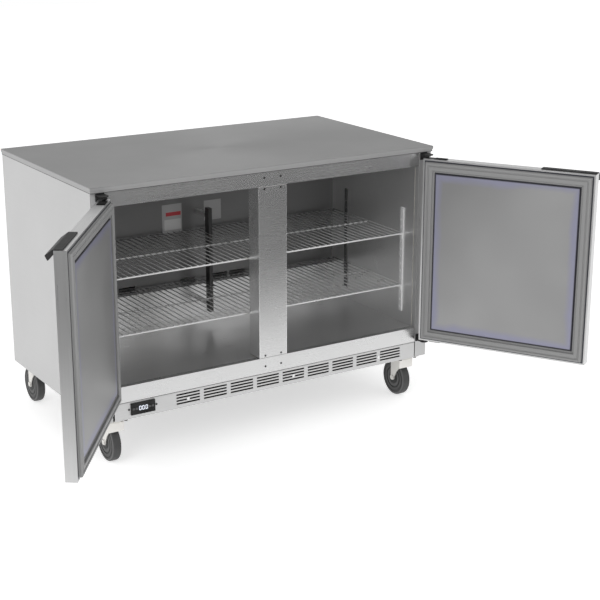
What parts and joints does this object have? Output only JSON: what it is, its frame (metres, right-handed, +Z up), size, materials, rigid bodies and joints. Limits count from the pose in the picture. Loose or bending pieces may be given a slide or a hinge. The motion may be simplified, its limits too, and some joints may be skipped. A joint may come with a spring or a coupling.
{
  "type": "under counter fridge",
  "caption": "Two-door stainless under counter fridge on swivel casters, doors open, wire shelves inside, louvered front with controller, cooling unit at the back.",
  "frame": {"origin": "on the floor under the middle of the cabinet", "axes": "+X to the right seen from the front, +Y to the back, +Z up"},
  "size_m": [1.8299, 1.2548, 0.876],
  "materials": {
    "worktop_steel": "matt brushed",
    "side_steel": "brushed",
    "front_steel": "brushed",
    "louver_steel": "brushed",
    "zinc_steel": "galvanised",
    "room_steel": "brushed",
    "foam": "rigid foam",
    "screw_steel": "bright",
    "controller_black": "satin",
    "display_dark": "smoked",
    "key_grey": "soft",
    "plate_zinc": "zinc plated",
    "fork_zinc": "zinc plated",
    "wheel_grey": "matt",
    "door_steel": "brushed",
    "door_inner": "brushed",
    "gasket_grey": "soft vinyl",
    "handle_dark": "satin",
    "hinge_black": "satin",
    "bracket_steel": "satin",
    "shelf_wire": "coated wire",
    "pilaster_steel": "bright",
    "cover_metal": "satin",
    "label_white": "paper",
    "coil_aluminium": "mill",
    "coil_black": "matt",
    "copper": "copper tube",
    "compressor_black": "gloss",
    "fan_plastic": "matt",
    "motor_grey": "satin"
  },
  "bodies": {
    "cabinet": {"worktop": "worktop_steel", "side_panel_left": "side_steel", "side_panel_right": "side_steel", "back_panel": "zinc_steel", "rear_grille": "zinc_steel", "inner_liner": "room_steel", "foam_insulation": "foam", "front_header": "front_steel", "front_sill": "front_steel", "center_mullion": "front_steel", "frame_screws": "screw_steel", "louver_panel": "louver_steel", "controller_body": "controller_black", "display_window": "display_dark", "base_pan": "zinc_steel", "caster_plates": "plate_zinc", "caster_bolts": "screw_steel", "hinge_brackets_left": "bracket_steel", "hinge_brackets_right": "bracket_steel", "shelf_left_lower": "shelf_wire", "shelf_left_upper": "shelf_wire", "shelf_right_lower": "shelf_wire", "shelf_right_upper": "shelf_wire", "shelf_clips": "pilaster_steel", "pilasters": "pilaster_steel", "center_post": "pilaster_steel", "evaporator_cover": "cover_metal", "evaporator_coil": "coil_aluminium", "evaporator_fan_motor": "motor_grey", "compressor": "compressor_black", "condenser_coil": "coil_black", "condenser_fan_motor": "motor_grey", "refrigerant_lines": "copper", "labels": "label_white"},
    "door_left": {"door_left_skin": "door_steel", "door_left_foam": "foam", "door_left_liner": "door_inner", "door_left_gasket": "gasket_grey", "handle_left": "handle_dark", "hinge_insert_left": "hinge_black"},
    "door_right": {"door_right_skin": "door_steel", "door_right_foam": "foam", "door_right_liner": "door_inner", "door_right_gasket": "gasket_grey", "handle_right": "handle_dark", "hinge_insert_right": "hinge_black"},
    "evap_fan": {"evaporator_fan": "fan_plastic"},
    "cond_fan": {"condenser_fan": "fan_plastic"},
    "key_1": {"key_1": "key_grey"},
    "key_2": {"key_2": "key_grey"},
    "key_3": {"key_3": "key_grey"},
    "key_4": {"key_4": "key_grey"},
    "fork_front_left": {"fork_front_left": "fork_zinc"},
    "wheel_front_left": {"wheel_front_left": "wheel_grey"},
    "fork_front_right": {"fork_front_right": "fork_zinc"},
    "wheel_front_right": {"wheel_front_right": "wheel_grey"},
    "fork_rear_left": {"fork_rear_left": "fork_zinc"},
    "wheel_rear_left": {"wheel_rear_left": "wheel_grey"},
    "fork_rear_right": {"fork_rear_right": "fork_zinc"},
    "wheel_rear_right": {"wheel_rear_right": "wheel_grey"}
  },
  "joints": [
    {"name": "door_left_swing", "type": "hinge", "parent": "cabinet", "child": "door_left", "pos_m": [-0.5715, -0.3675, 0.53], "axis": [0, 0, -1], "range_deg": [-125.7, 4.3]},
    {"name": "door_right_swing", "type": "hinge", "parent": "cabinet", "child": "door_right", "pos_m": [0.5715, -0.3675, 0.53], "axis": [0, 0, 1], "range_deg": [-121, 9]},
    {"name": "fan_condenser", "type": "hinge", "parent": "cabinet", "child": "cond_fan", "pos_m": [0.06, 0.292, 0.2234], "axis": [0, -1, 0], "continuous": true},
    {"name": "fan_evaporator", "type": "hinge", "parent": "cabinet", "child": "evap_fan", "pos_m": [-0.41, 0.2069, 0.4309], "axis": [0, -1, 0], "continuous": true},
    {"name": "key_1_press", "type": "slide", "parent": "cabinet", "child": "key_1", "axis": [0, 1, 0], "range_m": [0, 0.0006], "stiffness_N_per_m": 300},
    {"name": "key_2_press", "type": "slide", "parent": "cabinet", "child": "key_2", "axis": [0, 1, 0], "range_m": [0, 0.0006], "stiffness_N_per_m": 300},
    {"name": "key_3_press", "type": "slide", "parent": "cabinet", "child": "key_3", "axis": [0, 1, 0], "range_m": [0, 0.0006], "stiffness_N_per_m": 300},
    {"name": "key_4_press", "type": "slide", "parent": "cabinet", "child": "key_4", "axis": [0, 1, 0], "range_m": [0, 0.0006], "stiffness_N_per_m": 300},
    {"name": "swivel_front_left", "type": "hinge", "parent": "cabinet", "child": "fork_front_left", "pos_m": [-0.5435, -0.294, 0.13], "axis": [0, 0, 1], "continuous": true},
    {"name": "swivel_front_right", "type": "hinge", "parent": "cabinet", "child": "fork_front_right", "pos_m": [0.5435, -0.294, 0.13], "axis": [0, 0, 1], "continuous": true},
    {"name": "swivel_rear_left", "type": "hinge", "parent": "cabinet", "child": "fork_rear_left", "pos_m": [-0.5435, 0.306, 0.13], "axis": [0, 0, 1], "continuous": true},
    {"name": "swivel_rear_right", "type": "hinge", "parent": "cabinet", "child": "fork_rear_right", "pos_m": [0.5435, 0.306, 0.13], "axis": [0, 0, 1], "continuous": true},
    {"name": "wheel_front_left_roll", "type": "hinge", "parent": "fork_front_left", "child": "wheel_front_left", "pos_m": [-0.5435, -0.264, 0.061], "axis": [1, 0, 0], "continuous": true},
    {"name": "wheel_front_right_roll", "type": "hinge", "parent": "fork_front_right", "child": "wheel_front_right", "pos_m": [0.5435, -0.264, 0.061], "axis": [1, 0, 0], "continuous": true},
    {"name": "wheel_rear_left_roll", "type": "hinge", "parent": "fork_rear_left", "child": "wheel_rear_left", "pos_m": [-0.5435, 0.336, 0.061], "axis": [1, 0, 0], "continuous": true},
    {"name": "wheel_rear_right_roll", "type": "hinge", "parent": "fork_rear_right", "child": "wheel_rear_right", "pos_m": [0.5435, 0.336, 0.061], "axis": [1, 0, 0], "continuous": true}
  ]
}
